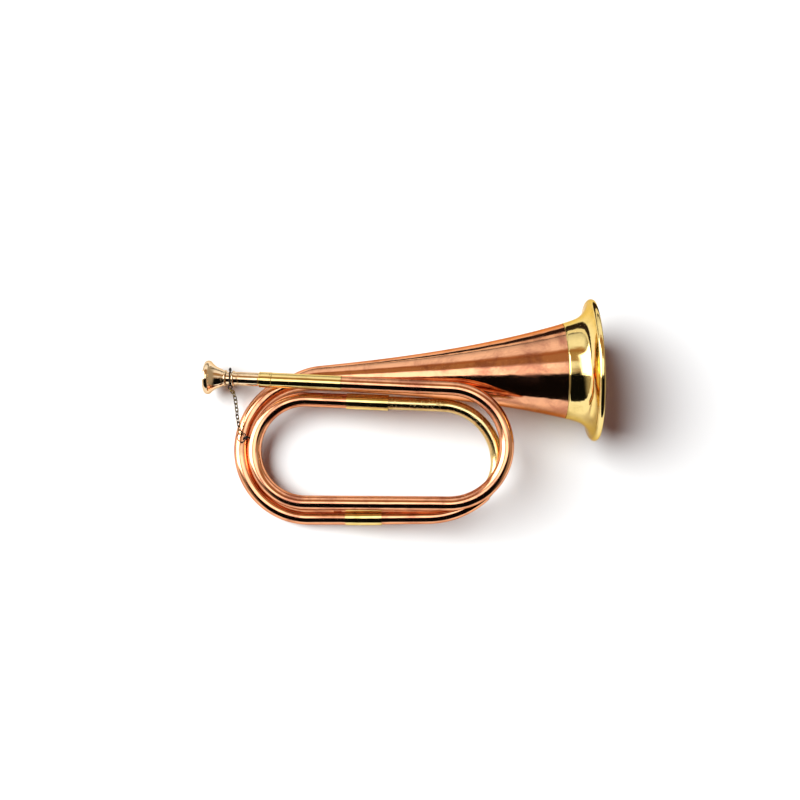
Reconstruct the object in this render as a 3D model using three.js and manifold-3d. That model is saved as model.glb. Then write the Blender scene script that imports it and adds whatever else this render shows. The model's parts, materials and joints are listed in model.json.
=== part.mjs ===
// A two-coil duty bugle in copper and brass, lying on its side on a flat surface.
// Millimetres. It is drawn with the bell's axis level along +X, the coil towards -Y and the leadpipe
// on the +Z side; at the end the whole bugle is turned onto the three places that it rests on.
import * as THREE from "three";
import { mergeVertices } from "three/addons/utils/BufferGeometryUtils.js";
import Module from "manifold-3d";

const wasm = await Module();
wasm.setup();
const { sin, cos, exp, sqrt, PI } = Math;
const radians = THREE.MathUtils.degToRad;

// ---- Driving dimensions -------------------------------------------------------------------------

const TUBE_RADIUS = 5.6; // outside, along the first coil
const TUBE_WALL = 0.6;
const CROOK_RADIUS = 5.1; // the brass crook is drawn a little narrower
const RECEIVER_RADIUS = 5.9;
const FERRULE_RADIUS = 6.2;
const FERRULE_LENGTH = 33;
const LOWER_FERRULE_LENGTH = 28;
const JOINT_GAP = 0.3; // between two pieces that meet

// The path of the tube seen square to the bell's axis: straights, and bows turning clockwise.
const MOUTH = new THREE.Vector2(-110.9, 16.1); // centre of the receiver's open end
const LEADPIPE = { heading: -2.6, length: 151 };
const FRONT_BOW = { radius: 45, turn: 177.4 };
const BOTTOM_RUN = 112.8;
const INNER_BOW = { radius: 40.6, turn: 182.4 };
const TOP_RUN = 106.6;
const CROOK_BOWS = [
  { radius: 45, turn: 87.8 },
  { radius: 36, turn: 50 },
  { radius: 66, turn: 39.1 },
];
const RETURN_RUN = 93.8;
const OUTER_BOW = { radius: 53.9, turn: 163.9 };
const THROAT_RUN = 9.7;
const THROAT_BOW = { radius: 50, turn: 15.1 };
const BELL_LENGTH = 222; // along its straight axis, up to the front of the rim

const COIL_RISE = 0.08; // the coil's plane rises towards +Z along +X, to clear the bell
const COIL_HEIGHT = 22.7; // of that plane above the bell's axis at x = 0

// Bell: a slow exponential taper with a quick flare at the rim, measured back from the rim's front.
const BELL_TAPER_LENGTH = 145;
const BELL_TAPER_RADIUS = 45.4;
const FLARE_LENGTH = 3.2;
const FLARE_RADIUS = 53.5;
const RIM_RADIUS = 56.8;
const RIM_BEAD = 2.8;
const RIM_LAND = 1.7; // half width of the flat ring on the rim's front
const GARLAND_LENGTH = 25.8;
const SHEET = 0.6;
const EDGE_BEAD = 0.3; // how far the garland's turned edge stands up

// Mouthpiece, along its axis from the receiver's open end; a negative place is inside the receiver.
const SHANK_INSIDE = 20;
const MOUTH_RIM = { back: 38.6, front: 43.4, radius: 13.35, opening: 9.7 };
const NECK_PLACE = 23.4; // middle of the groove that the wire loop lies in
const WIRE = 1;
const NECK_LOOP_RADIUS = 5.7;

// Chain.
const LINKS = 13;
const LINK = { wire: 0.7, length: 4.15, width: 2.6 }; // length and width of the wire's centreline
const LINK_LEAN = 45; // degrees that the chain twists over its first links
const LEANING_LINK = 4;
const SPLIT_RING = { radius: 3.7, wire: 0.95 };

const NECK_EYE = 1.5;
const EYELET = { foot: 1.6, radius: 1.9, wire: 0.9, sunk: 0.4 }; // its ring is sunk into the foot
const EYELET_PLACE = { inner: 476, outer: 974 }; // along the two left bows
const SPLIT_RING_DROP = 12; // degrees that it hangs below level
const SOLDER = { length: 6, width: 2.5, under: 1.9 }; // it lies under the line between two tubes' centres

// Where one tube ends and the next begins, measured from the start of the part that it lies in.
const COLLAR_LENGTH = 10;
const RECEIVER_LENGTH = 65;
const RECEIVER_BORE = 5.3;
const UPPER_FERRULE_PLACE = 47.8; // middle, from the start of the top run
const CROOK_END_PLACE = 27; // from the start of the crook's second bow
const LOWER_FERRULE_PLACE = 50.4; // middle, from the start of the return run
const THROAT_START_RADIUS = 6.9;

// Smoothness: how finely the long round pieces are drawn.
const TUBE_SIDES = 20;
const BELL_SIDES = 44;
const BOW_STEP = 7;
const STRAIGHT_STEP = 25;

// Rest: turned about Y, then about X, until the rim and the coil's back touch the surface.
const REST_PITCH = -8.77;
const REST_ROLL = 9.27;

// ---- Materials ----------------------------------------------------------------------------------

const copper = new THREE.MeshStandardMaterial({ color: 0xc87a55, roughness: 0.14, metalness: 1 });
const brass = new THREE.MeshStandardMaterial({ color: 0xd8b04c, roughness: 0.14, metalness: 1 });
const roseBrass = new THREE.MeshStandardMaterial({ color: 0xd9a878, roughness: 0.18, metalness: 1 });
const darkWire = new THREE.MeshStandardMaterial({ color: 0x3a2a20, roughness: 0.5, metalness: 0.8 });
const chainBrass = new THREE.MeshStandardMaterial({ color: 0x9c7a3c, roughness: 0.4, metalness: 1 });
const solder = new THREE.MeshStandardMaterial({ color: 0x8f8a84, roughness: 0.5, metalness: 0.9 });

// ---- The tube's path ----------------------------------------------------------------------------

// Straights and clockwise bows in the XY plane, each with the path length where it starts.
class TubePath {
  constructor(start, heading) {
    this.parts = [];
    this.end = start.clone();
    this.heading = radians(heading);
    this.length = 0;
  }
  straight(length) {
    const part = { at: this.length, from: this.end.clone(), heading: this.heading, radius: Infinity };
    this.parts.push(part);
    this.length += length;
    this.end = this.place(this.length, part);
    return this.length;
  }
  bow({ radius, turn }) {
    const part = { at: this.length, from: this.end.clone(), heading: this.heading, radius };
    this.parts.push(part);
    this.length += radius * radians(turn);
    this.end = this.place(this.length, part);
    this.heading -= radians(turn);
    return this.length;
  }
  place(s, part = this.parts.findLast((each) => each.at <= s + 1e-9) ?? this.parts[0]) {
    const run = s - part.at;
    const h = part.heading;
    if (part.radius === Infinity) {
      return new THREE.Vector2(part.from.x + run * cos(h), part.from.y + run * sin(h));
    }
    const turned = h - run / part.radius;
    const across = part.radius * (sin(h) - sin(turned));
    const along = part.radius * (cos(turned) - cos(h));
    return new THREE.Vector2(part.from.x + across, part.from.y + along);
  }
}

const path = new TubePath(MOUTH, LEADPIPE.heading);
const at = { mouth: 0 };
at.frontBow = path.straight(LEADPIPE.length);
at.bottomRun = path.bow(FRONT_BOW);
at.innerBow = path.straight(BOTTOM_RUN);
at.topRun = path.bow(INNER_BOW);
at.crookBow = path.straight(TOP_RUN);
CROOK_BOWS.forEach((bow) => {
  at.returnRun = path.bow(bow);
});
at.outerBow = path.straight(RETURN_RUN);
at.throat = path.bow(OUTER_BOW);
path.straight(THROAT_RUN);
at.bell = path.bow(THROAT_BOW);
at.rim = path.straight(BELL_LENGTH);

const coilPlane = (s) => COIL_HEIGHT + COIL_RISE * path.place(s).x;

// Height of the tube's centre at a few places along the path; a smooth curve joins them.
const HEIGHTS = [
  [at.mouth, coilPlane(at.mouth)],
  [at.frontBow * 0.5, coilPlane(at.frontBow * 0.5)],
  [at.frontBow, coilPlane(at.frontBow)],
  [(at.frontBow + at.bottomRun) / 2, coilPlane((at.frontBow + at.bottomRun) / 2)],
  [at.bottomRun, coilPlane(at.bottomRun)],
  [at.innerBow, coilPlane(at.innerBow) - 0.8],
  [(at.innerBow + at.topRun) / 2, 9],
  [at.topRun, 9.7],
  [at.crookBow, 16.8],
  [(at.crookBow + at.returnRun) / 2, 16.4],
  [at.returnRun, 15],
  [(at.returnRun + at.outerBow) / 2, 13.9],
  [at.outerBow, 8],
  [(at.outerBow + at.throat) / 2, 4],
  [at.throat - 40, -2.8],
  [at.throat, -4],
  [at.bell, 0],
  [at.rim, 0],
];

// Cubic between the places, each with the slope of the chord across its two neighbours.
function height(s) {
  const last = HEIGHTS.length - 1;
  const slope = (i) => {
    if (i === last || i === last - 1) return 0;
    const low = Math.max(i - 1, 0);
    return (HEIGHTS[i + 1][1] - HEIGHTS[low][1]) / (HEIGHTS[i + 1][0] - HEIGHTS[low][0]);
  };
  const i = Math.min(Math.max(HEIGHTS.findIndex(([place]) => place > s) - 1, 0), last - 1);
  const j = s >= HEIGHTS[last][0] ? last - 1 : i;
  const [s0, z0] = HEIGHTS[j];
  const [s1, z1] = HEIGHTS[j + 1];
  const step = s1 - s0;
  const t = (s - s0) / step;
  const [t2, t3] = [t * t, t * t * t];
  return (
    (2 * t3 - 3 * t2 + 1) * z0 +
    (t3 - 2 * t2 + t) * step * slope(j) +
    (3 * t2 - 2 * t3) * z1 +
    (t3 - t2) * step * slope(j + 1)
  );
}

const centre = (s) => {
  const { x, y } = path.place(s);
  return new THREE.Vector3(x, y, height(s));
};

const tangent = (s) => centre(s + 0.05).sub(centre(s - 0.05)).normalize();

// Outside radius of the tapering copper from the lower ferrule round to the bell.
const bellRadius = (back) =>
  BELL_TAPER_RADIUS * exp(-back / BELL_TAPER_LENGTH) + FLARE_RADIUS * exp(-back / FLARE_LENGTH);
const BELL_START_RADIUS = bellRadius(BELL_LENGTH);
const HALFWAY_RADIUS = TUBE_RADIUS + 0.3; // from halfway round the outer bow it widens faster
function taperRadius(s) {
  const { mapLinear, clamp, smoothstep } = THREE.MathUtils;
  if (s > at.bell) return bellRadius(at.rim - s);
  if (s > at.throat) return mapLinear(s, at.throat, at.bell, THROAT_START_RADIUS, BELL_START_RADIUS);
  const halfway = (at.outerBow + at.throat) / 2;
  const early = mapLinear(clamp(s, at.returnRun, halfway), at.returnRun, halfway, TUBE_RADIUS, HALFWAY_RADIUS);
  return early + (THROAT_START_RADIUS - HALFWAY_RADIUS) * smoothstep(s, halfway, at.throat);
}

// Centre of a ball that lies in the valley between two runs of tube, on their +Z side.
function valley(placeA, placeB, ball) {
  const [a, b] = [centre(placeA), centre(placeB)];
  const [reachA, reachB] = [TUBE_RADIUS + ball, taperRadius(placeB) + ball];
  const apart = a.distanceTo(b);
  const along = b.clone().sub(a).normalize();
  const up = new THREE.Vector3(0, 0, 1).addScaledVector(along, -along.z).normalize();
  const across = (apart * apart + reachA * reachA - reachB * reachB) / (2 * apart);
  return a.addScaledVector(along, across).addScaledVector(up, sqrt(reachA * reachA - across * across));
}

// Where the wire loop, the chain and the eyelet sit.
const neckPoint = centre(0).addScaledVector(tangent(0), -NECK_PLACE);
const eyeletFoot = valley(EYELET_PLACE.inner, EYELET_PLACE.outer, EYELET.foot + JOINT_GAP);
const ringPivot = eyeletFoot.clone().add(new THREE.Vector3(0, 0, EYELET.foot + EYELET.radius - EYELET.sunk));
const ringMiddle = new THREE.Vector3(-SPLIT_RING.radius, 0, 0);
ringMiddle.applyAxisAngle(new THREE.Vector3(0, 1, 0), radians(-SPLIT_RING_DROP)).add(ringPivot);
const chainEnd = ringMiddle.clone().add(new THREE.Vector3(-1.2, 2.6, 0));
const chainStart = neckPoint.clone().add(new THREE.Vector3(-0.1, -NECK_LOOP_RADIUS - 2 * NECK_EYE + 0.43, 0.48));
const chainCurve = new THREE.CatmullRomCurve3([
  chainStart,
  new THREE.Vector3(-131.9, 4.5, 6.6),
  new THREE.Vector3(-130.4, -4.7, 4.6),
  new THREE.Vector3(-129, -13.6, 7.9),
  new THREE.Vector3(-127.6, -20, 10.2),
  chainEnd,
]);

// ---- Building solids ----------------------------------------------------------------------------

// A pipe open at both ends: one ring of points at each place, outside and inside.
function pipe(places, outer, wall, sides = TUBE_SIDES) {
  const points = [];
  const faces = [];
  let side = new THREE.Vector3(0, 0, 1);
  for (const s of places) {
    const along = tangent(s);
    side = side.clone().addScaledVector(along, -side.dot(along)).normalize();
    const up = along.clone().cross(side);
    for (const radius of [outer(s), outer(s) - wall]) {
      for (let k = 0; k < sides; k++) {
        const turn = (2 * PI * k) / sides;
        const point = centre(s).addScaledVector(side, radius * cos(turn));
        point.addScaledVector(up, radius * sin(turn));
        points.push(point.x, point.y, point.z);
      }
    }
  }
  const index = (ring, inside, k) => (2 * ring + inside) * sides + (k % sides);
  const quad = (a, b, c, d) => faces.push(a, b, c, a, c, d);
  const last = places.length - 1;
  for (let k = 0; k < sides; k++) {
    for (let ring = 0; ring < last; ring++) {
      quad(index(ring, 0, k), index(ring, 0, k + 1), index(ring + 1, 0, k + 1), index(ring + 1, 0, k));
      quad(index(ring, 1, k), index(ring + 1, 1, k), index(ring + 1, 1, k + 1), index(ring, 1, k + 1));
    }
    quad(index(0, 0, k), index(0, 1, k), index(0, 1, k + 1), index(0, 0, k + 1));
    quad(index(last, 0, k), index(last, 0, k + 1), index(last, 1, k + 1), index(last, 1, k));
  }
  const geometry = new THREE.BufferGeometry();
  geometry.setAttribute("position", new THREE.Float32BufferAttribute(points, 3));
  geometry.setIndex(faces);
  geometry.computeVertexNormals();
  return geometry;
}

// Places along the path at even steps, closer together on the bows, with one at every change.
function placesBetween(from, to) {
  const changes = path.parts.map((part) => part.at).filter((s) => s > from + 1 && s < to - 1);
  const breaks = [from, ...changes, to];
  const places = [from];
  for (let i = 1; i < breaks.length; i++) {
    const middle = (breaks[i - 1] + breaks[i]) / 2;
    const part = path.parts.findLast((each) => each.at <= middle);
    const length = breaks[i] - breaks[i - 1];
    const count = Math.ceil(length / (part.radius === Infinity ? STRAIGHT_STEP : BOW_STEP));
    for (let n = 1; n <= count; n++) {
      places.push(breaks[i - 1] + (length * n) / count);
    }
  }
  return places;
}

// A closed outline of [radius, place] points turned about the tube's centreline near place s.
function turned(outline, s, sides = 28) {
  const closed = [...outline, outline[0]].map(([radius, place]) => new THREE.Vector2(radius, place));
  const geometry = new THREE.LatheGeometry(closed, sides);
  return standOn(geometry, s);
}

// Puts a geometry's Y axis along the tube at place s, with its origin on the centreline.
function standOn(geometry, s) {
  const turn = new THREE.Quaternion().setFromUnitVectors(new THREE.Vector3(0, 1, 0), tangent(s));
  geometry.applyQuaternion(turn);
  const { x, y, z } = centre(s);
  geometry.translate(x, y, z);
  return geometry;
}

// Corners of an arc, for round stretches of an outline: centre, radius, from and to in degrees.
function arc(cx, cy, radius, from, to, steps) {
  return Array.from({ length: steps + 1 }, (_, i) => {
    const angle = radians(from + ((to - from) * i) / steps);
    return [cx + radius * cos(angle), cy + radius * sin(angle)];
  });
}

// A closed wire: a round section carried round a closed flat outline in its own XY plane.
function wireLoop(outline, wire, sides = 6) {
  const points = [];
  const faces = [];
  const count = outline.length;
  outline.forEach((point, n) => {
    const along = outline[(n + 1) % count].clone().sub(outline[(n + count - 1) % count]).normalize();
    for (let k = 0; k < sides; k++) {
      const angle = (2 * PI * k) / sides;
      const out = (wire / 2) * cos(angle);
      points.push(point.x + along.y * out, point.y - along.x * out, (wire / 2) * sin(angle));
    }
  });
  for (let n = 0; n < count; n++) {
    for (let k = 0; k < sides; k++) {
      const [a, b] = [n * sides + k, n * sides + ((k + 1) % sides)];
      const [c, d] = [((n + 1) % count) * sides + ((k + 1) % sides), ((n + 1) % count) * sides + k];
      faces.push(a, c, b, a, d, c);
    }
  }
  const geometry = new THREE.BufferGeometry();
  geometry.setAttribute("position", new THREE.Float32BufferAttribute(points, 3));
  geometry.setIndex(faces);
  geometry.computeVertexNormals();
  return geometry;
}

// A racetrack outline: two half circles joined by straights.
function racetrack(length, width, stepsPerEnd = 5) {
  const reach = (length - width) / 2;
  const end = (side, from) =>
    Array.from({ length: stepsPerEnd + 1 }, (_, i) => {
      const angle = from + (PI * i) / stepsPerEnd;
      return new THREE.Vector2(side * reach + (width / 2) * cos(angle), (width / 2) * sin(angle));
    });
  return [...end(1, -PI / 2), ...end(-1, PI / 2)];
}
const circle = (radius, steps) =>
  Array.from({ length: steps }, (_, i) => {
    const angle = (2 * PI * i) / steps;
    return new THREE.Vector2(radius * cos(angle), radius * sin(angle));
  });

// Joins overlapping solids into one closed mesh.
function joined(geometries) {
  const solids = geometries.map((geometry) => {
    const bare = geometry.index ? geometry.toNonIndexed() : geometry.clone();
    bare.deleteAttribute("normal");
    bare.deleteAttribute("uv");
    const { index, attributes } = mergeVertices(bare, 1e-4);
    const mesh = { numProp: 3, vertProperties: attributes.position.array, triVerts: new Uint32Array(index.array) };
    return new wasm.Manifold(new wasm.Mesh(mesh));
  });
  const whole = wasm.Manifold.union(solids).getMesh();
  const geometry = new THREE.BufferGeometry();
  geometry.setAttribute("position", new THREE.BufferAttribute(whole.vertProperties, 3));
  geometry.setIndex(new THREE.BufferAttribute(whole.triVerts, 1));
  geometry.computeVertexNormals();
  return geometry;
}

// ---- Pieces -------------------------------------------------------------------------------------

const bugle = new THREE.Group();
function add(name, geometry, material) {
  const mesh = new THREE.Mesh(geometry, material);
  mesh.name = name;
  bugle.add(mesh);
  return mesh;
}
const constant = (radius) => () => radius;

// Where two runs pass closest: a place on one with its tube's radius, and a place on the other.
const SOLDER_PLACES = {
  solder_bows: [at.bottomRun - 27, TUBE_RADIUS, at.returnRun - 47],
  solder_runs: [at.bottomRun + 88, TUBE_RADIUS, at.returnRun + 71],
  solder_throat: [44, RECEIVER_RADIUS, at.bell - 1],
};

const SEAM = {
  upperFerrule: at.topRun + UPPER_FERRULE_PLACE,
  crookEnd: at.crookBow + CROOK_BOWS[0].radius * radians(CROOK_BOWS[0].turn) + CROOK_END_PLACE,
  lowerFerrule: at.returnRun + LOWER_FERRULE_PLACE,
  garland: at.rim - GARLAND_LENGTH,
};

function addReceiver() {
  const collar = RECEIVER_RADIUS + 0.2;
  add("receiver_collar", pipe([0, COLLAR_LENGTH], constant(collar), collar - RECEIVER_BORE), brass);
  const tube = [COLLAR_LENGTH + JOINT_GAP, RECEIVER_LENGTH];
  add("receiver_tube", pipe(tube, constant(RECEIVER_RADIUS), RECEIVER_RADIUS - RECEIVER_BORE), brass);
}

function addCoil() {
  const firstCoil = placesBetween(RECEIVER_LENGTH + JOINT_GAP, SEAM.upperFerrule - JOINT_GAP / 2);
  add("first_coil", pipe(firstCoil, constant(TUBE_RADIUS), TUBE_WALL), copper);
  const crook = placesBetween(SEAM.upperFerrule + JOINT_GAP / 2, SEAM.crookEnd - JOINT_GAP / 2);
  add("brass_crook", pipe(crook, constant(CROOK_RADIUS), TUBE_WALL), brass);
  const returnTube = placesBetween(SEAM.crookEnd + JOINT_GAP / 2, SEAM.lowerFerrule - JOINT_GAP / 2);
  add("return_tube", pipe(returnTube, constant(TUBE_RADIUS), TUBE_WALL), copper);
  const wall = FERRULE_RADIUS - TUBE_RADIUS - JOINT_GAP;
  const sleeve = (place, length) =>
    pipe([place - length / 2, place, place + length / 2], constant(FERRULE_RADIUS), wall);
  add("upper_ferrule", sleeve(SEAM.upperFerrule, FERRULE_LENGTH), brass);
  add("lower_ferrule", sleeve(SEAM.lowerFerrule, LOWER_FERRULE_LENGTH), brass);
}

// Solder that holds two runs of tube together where they pass closest.
function addSolder(name, placeA, radiusA, placeB, radiusB) {
  const [a, b] = [centre(placeA), centre(placeB)];
  const across = b.clone().sub(a).normalize();
  const low = a.clone().addScaledVector(across, radiusA + JOINT_GAP);
  const high = b.clone().addScaledVector(across, -radiusB - JOINT_GAP);
  const geometry = new THREE.BoxGeometry(SOLDER.width, low.distanceTo(high), SOLDER.length);
  const along = tangent(placeA).addScaledVector(across, -tangent(placeA).dot(across)).normalize();
  const up = across.clone().cross(along);
  const under = up.z > 0 ? -SOLDER.under : SOLDER.under;
  const basis = new THREE.Matrix4().makeBasis(up, across, along);
  geometry.applyMatrix4(basis.setPosition(low.lerp(high, 0.5).addScaledVector(up, under)));
  add(name, geometry, solder);
}

// The bell's copper, from the lower ferrule round the outer bow, up the throat and out to the garland.
function addBell() {
  const tube = placesBetween(SEAM.lowerFerrule + JOINT_GAP / 2, SEAM.garland - JOINT_GAP);
  add("bell_tube", pipe(tube, taperRadius, SHEET), copper);
  add("bell_garland", turned(garlandOutline(), at.rim, BELL_SIDES), brass);
  add("bell_rim", turned(rimOutline(), at.rim, BELL_SIDES), brass);
}

// The garland: a turned edge where it meets the copper, then the flare up to the rim's bead.
function garlandOutline() {
  const steps = [0, 4, 8, 11.5, 14, 15.8, 17.2, 18.3, 19.2, GARLAND_LENGTH - 2 * RIM_BEAD - JOINT_GAP];
  const proud = 0.1; // of the copper's surface
  const wall = (from, radius) => [radius + proud, from - GARLAND_LENGTH];
  const outside = steps.slice(1).map((from) => wall(from, bellRadius(GARLAND_LENGTH - from)));
  const inside = steps.map((from) => wall(from, bellRadius(GARLAND_LENGTH - from) - SHEET)).reverse();
  const start = bellRadius(GARLAND_LENGTH);
  const edge = [wall(0, start), wall(0.3, start + EDGE_BEAD), wall(1, start + EDGE_BEAD), wall(1.4, start)];
  return [...edge, ...outside, ...inside];
}

// The rim: sheet rolled round a wire, with a narrow flat land on its front.
function rimOutline() {
  const land = THREE.MathUtils.radToDeg(Math.acos(RIM_LAND / RIM_BEAD));
  return arc(RIM_RADIUS - RIM_BEAD, -RIM_BEAD, RIM_BEAD, -180 - land, land, 12);
}

// One turned piece: rim, funnel cup, two beads with the wire's groove between them, and the shank.
function addMouthpiece() {
  const { back, front, radius, opening } = MOUTH_RIM;
  const rim = [
    [opening + 0.8, front],
    [radius - 1.8, front - 0.1],
    [radius - 0.6, front - 0.8],
    [radius, front - 2],
    [radius - 0.2, back + 1.3],
    [radius - 1.2, back + 0.1],
  ];
  const funnel = [
    [10.7, 36.9],
    [9.2, 35],
    [8.1, 32.8],
    [7.1, 30.3],
    [6.1, 28.6],
    [6.3, 27.9],
    [6.3, 26.4],
    [5.9, 25.6],
    [4.7, 25.5],
    [4.7, 21.9],
    [5.8, 21.8],
    [6.1, 20.8],
    [5.8, 18.8],
    [5.35, 18.2],
  ];
  const shank = [
    [5.3, 1],
    [4.9, 0.6],
    [4.4, -SHANK_INSIDE],
  ];
  const inside = [
    [3.4, -SHANK_INSIDE],
    [2.2, 16],
    [2.2, 22],
    [3.9, 28],
    [5.4, 33],
    [7.4, 38.4],
    [8.9, 41.8],
    [opening, front - 0.4],
  ];
  const outline = [...rim, ...funnel, ...shank, ...inside].map(([across, place]) => [across, -place]);
  add("mouthpiece", turned(outline, 0, 28), roseBrass);
}

// The wire loop in the mouthpiece's groove, with its twisted end on top and the chain's eye below.
function addNeckWire() {
  const loop = wireLoop(circle(NECK_LOOP_RADIUS, 24), WIRE);
  const eye = wireLoop(circle(NECK_EYE, 12), WIRE);
  eye.rotateY(PI / 2);
  eye.translate(0, -NECK_LOOP_RADIUS - NECK_EYE, 0);
  const knot = new THREE.SphereGeometry(1.5, 10, 8);
  knot.scale(1, 1.15, 0.9);
  knot.translate(0, NECK_LOOP_RADIUS + 1.1, 0);
  const wire = joined([loop, eye, knot]);
  wire.rotateY(PI / 2);
  wire.translate(neckPoint.x, neckPoint.y, neckPoint.z);
  add("neck_wire", wire, darkWire);
}

// The chain hangs from the neck wire's eye, dips, and comes up over the outer bow to the split ring.
function addChain() {
  for (let n = 0; n < LINKS; n++) {
    const middle = (n + 0.5) / LINKS;
    const along = chainCurve.getTangentAt(middle);
    const across = new THREE.Vector3(0, 0, 1).cross(along).normalize();
    const up = along.clone().cross(across);
    const lean = radians(LINK_LEAN * Math.min(n / LEANING_LINK, 1) - (n % 2 === 0 ? 0 : 90));
    across.applyAxisAngle(along, lean);
    up.applyAxisAngle(along, lean);
    const basis = new THREE.Matrix4().makeBasis(along, up, across.negate());
    const link = wireLoop(racetrack(LINK.length, LINK.width), LINK.wire);
    link.applyMatrix4(basis.setPosition(chainCurve.getPointAt(middle)));
    add(`chain_link_${String(n + 1).padStart(2, "0")}`, link, chainBrass);
  }
}

// An eyelet soldered in the valley between the two left bows, and the split ring through it.
function addEyelet() {
  const foot = new THREE.SphereGeometry(EYELET.foot, 12, 8);
  const eye = wireLoop(circle(EYELET.radius, 14), EYELET.wire);
  eye.rotateX(PI / 2);
  eye.translate(0, 0, EYELET.foot + EYELET.radius - EYELET.sunk);
  const eyelet = joined([foot, eye]);
  eyelet.translate(eyeletFoot.x, eyeletFoot.y, eyeletFoot.z);
  add("eyelet", eyelet, darkWire);
  const ring = wireLoop(circle(SPLIT_RING.radius, 20), SPLIT_RING.wire);
  ring.rotateY(radians(-SPLIT_RING_DROP));
  ring.translate(ringMiddle.x, ringMiddle.y, ringMiddle.z);
  add("split_ring", ring, chainBrass);
}

addReceiver();
addCoil();
addBell();
Object.entries(SOLDER_PLACES).forEach(([name, [inner, innerRadius, outer]]) => {
  addSolder(name, inner, innerRadius, outer, outer > at.outerBow ? taperRadius(outer) : TUBE_RADIUS);
});
addMouthpiece();
addNeckWire();
addChain();
addEyelet();

// The bugle lies on the rim and on two places of the outer bow, centred over the origin.
bugle.rotation.set(radians(REST_ROLL), radians(REST_PITCH), 0);
bugle.updateMatrixWorld(true);
const bounds = new THREE.Box3().setFromObject(bugle, true);
const middle = bounds.getCenter(new THREE.Vector3());
bugle.position.set(-middle.x, -middle.y, -bounds.min.z);

export default bugle;
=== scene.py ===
"""Looks of a two-coil copper and brass bugle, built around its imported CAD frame.

Lengths in the drawing are millimetres, with the bell's axis level along +X. `to_row` turns the
drawing onto the surface that the bugle lies on, in metres, as the CAD part does.
"""
import json
import math

import bpy
import numpy as np
from mathutils import Matrix, Vector


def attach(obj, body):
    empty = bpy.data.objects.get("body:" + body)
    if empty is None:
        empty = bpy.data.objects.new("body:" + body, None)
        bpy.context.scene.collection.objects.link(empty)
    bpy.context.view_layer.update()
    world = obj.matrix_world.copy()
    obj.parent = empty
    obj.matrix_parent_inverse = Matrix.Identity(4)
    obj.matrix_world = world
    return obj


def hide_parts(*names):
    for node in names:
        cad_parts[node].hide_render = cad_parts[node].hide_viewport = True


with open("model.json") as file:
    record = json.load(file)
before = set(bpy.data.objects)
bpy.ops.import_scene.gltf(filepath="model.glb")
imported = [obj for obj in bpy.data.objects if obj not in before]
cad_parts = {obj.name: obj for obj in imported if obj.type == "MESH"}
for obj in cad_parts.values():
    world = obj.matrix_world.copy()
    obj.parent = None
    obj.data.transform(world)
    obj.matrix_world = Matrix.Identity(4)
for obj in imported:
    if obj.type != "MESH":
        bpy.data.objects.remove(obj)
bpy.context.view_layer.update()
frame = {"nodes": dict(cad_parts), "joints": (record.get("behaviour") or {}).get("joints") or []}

MM = 0.001

# ---- Driving dimensions, the same as the CAD part's ---------------------------------------------

TUBE_RADIUS = 5.6
TUBE_WALL = 0.6
CROOK_RADIUS = 5.1
RECEIVER_RADIUS = 5.9
RECEIVER_BORE = 5.3
COLLAR_LENGTH = 10.0
RECEIVER_LENGTH = 65.0
FERRULE_RADIUS = 6.2
FERRULE_WALL = 0.3
FERRULE_LENGTH = 33.0
LOWER_FERRULE_LENGTH = 28.0
JOINT_GAP = 0.3
UPPER_FERRULE_PLACE = 47.8
CROOK_END_PLACE = 27.0
LOWER_FERRULE_PLACE = 50.4

MOUTH = (-110.9, 16.1)
HEADING = -2.6
LEADPIPE = 151.0
FRONT_BOW = (45.0, 177.4)
BOTTOM_RUN = 112.8
INNER_BOW = (40.6, 182.4)
TOP_RUN = 106.6
CROOK_BOWS = ((45.0, 87.8), (36.0, 50.0), (66.0, 39.1))
RETURN_RUN = 93.8
OUTER_BOW = (53.9, 163.9)
THROAT_RUN = 9.7
THROAT_BOW = (50.0, 15.1)
BELL_LENGTH = 222.0
COIL_RISE = 0.08
COIL_HEIGHT = 22.7

BELL_TAPER_LENGTH = 145.0
BELL_TAPER_RADIUS = 45.4
FLARE_LENGTH = 3.2
FLARE_RADIUS = 53.5
RIM_RADIUS = 56.8
RIM_BEAD = 2.8
RIM_LAND = 1.7
GARLAND_LENGTH = 25.8
SHEET = 0.6
THROAT_START_RADIUS = 6.9
HALFWAY_RADIUS = TUBE_RADIUS + 0.3

SHANK_INSIDE = 20.0
MOUTH_RIM_RADIUS = 13.3
NECK_PLACE = 23.4
NECK_LOOP_RADIUS = 5.7
NECK_EYE = 1.5
LINKS = 13
LINK_LENGTH, LINK_WIDTH, LINK_WIRE = 4.15, 2.6, 0.7
SPLIT_RING_RADIUS = 3.7
EYELET_FOOT, EYELET_RADIUS, EYELET_WIRE, EYELET_SUNK = 1.6, 1.9, 0.9, 0.4

REST_PITCH = -8.77
REST_ROLL = 9.27

# The camera looks straight down on the drawing, whose origin it puts in the middle of the picture.
CAMERA_HEIGHT = 976.0
LENS, SENSOR = 54.9, 36.0

# ---- The tube's path ----------------------------------------------------------------------------


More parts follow.
